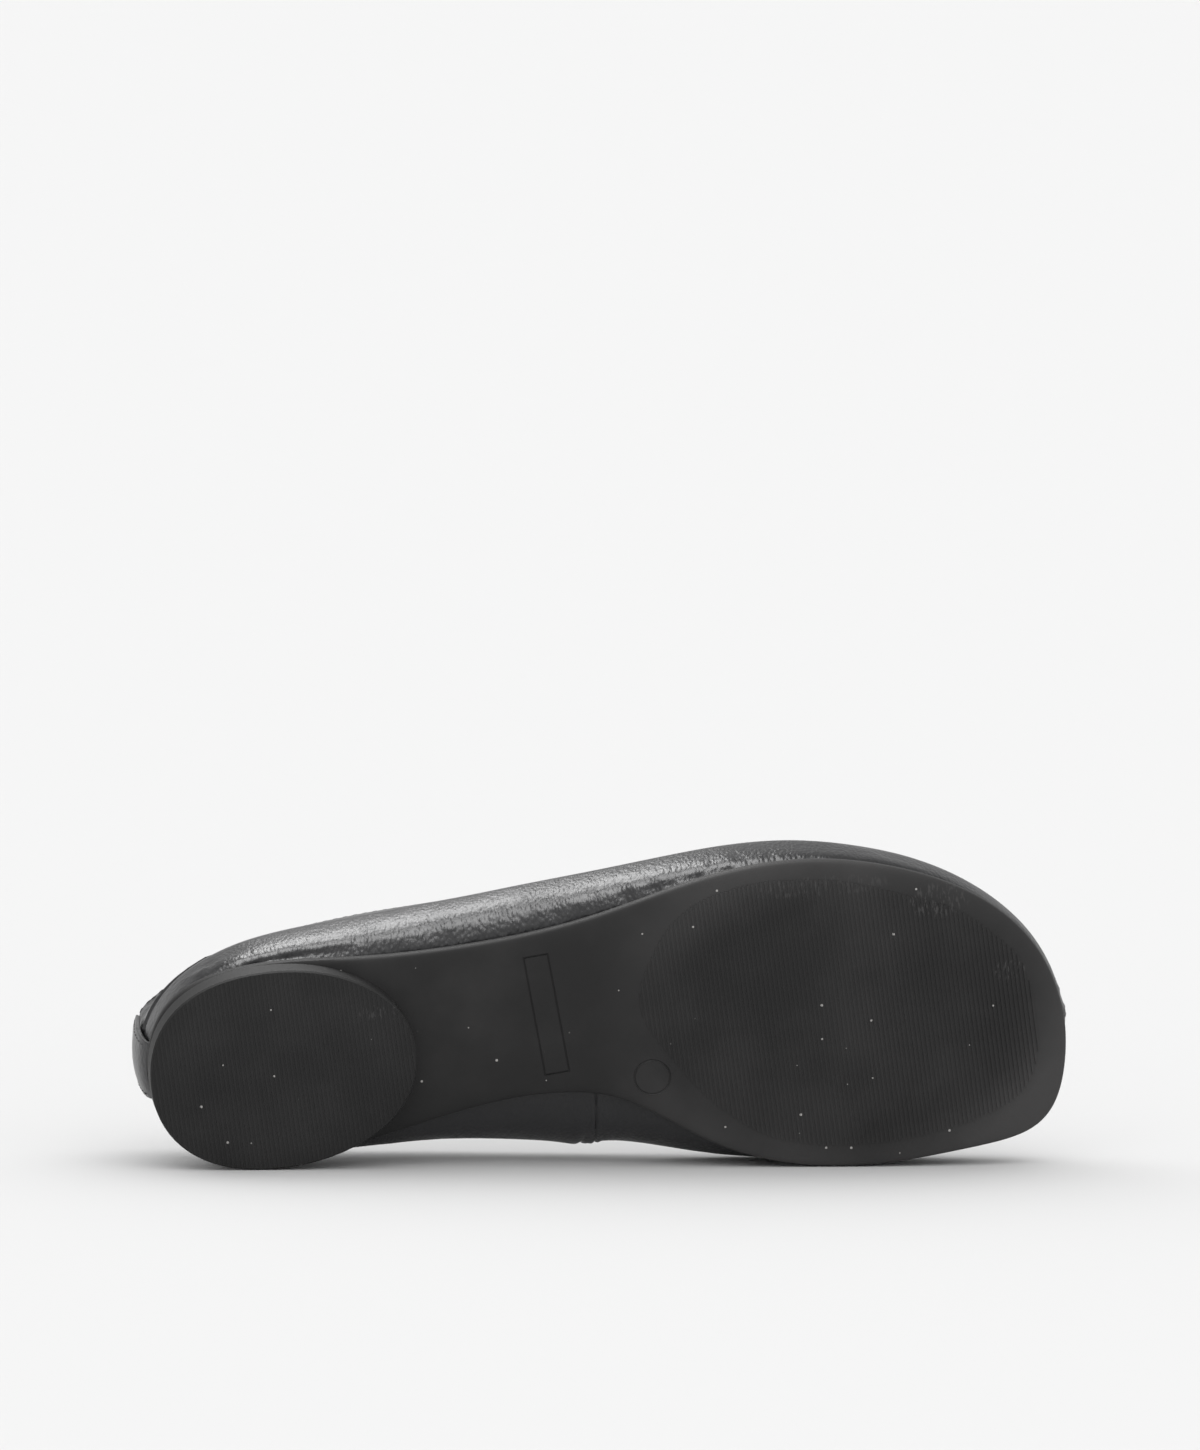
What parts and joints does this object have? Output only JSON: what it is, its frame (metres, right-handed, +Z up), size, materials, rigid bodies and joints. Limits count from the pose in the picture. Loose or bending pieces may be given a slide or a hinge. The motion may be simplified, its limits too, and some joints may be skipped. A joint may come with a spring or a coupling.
{
  "type": "ballet flat",
  "caption": "Right-foot leather ballet flat with a thin inflared sole, low oval heel block, rounded-square toe and open collar, lying on its inner side.",
  "frame": {"origin": "middle of the bounding box, on the surface that the shoe lies on", "axes": "+X from the heel to the toe, +Y from the sole towards the collar, +Z up; the wearer's inner side faces down"},
  "size_m": [0.25, 0.0634, 0.0872],
  "materials": {
    "upper": "smooth black leather with a soft sheen",
    "outsole": "matt black moulded rubber",
    "heel": "matt black moulded rubber",
    "insole": "matt dark leather lining",
    "back_strip": "smooth black leather with a soft sheen"
  },
  "bodies": {
    "root": {"upper": "upper", "outsole": "outsole", "heel": "heel", "insole": "insole", "back_strip": "back_strip"}
  },
  "joints": []
}
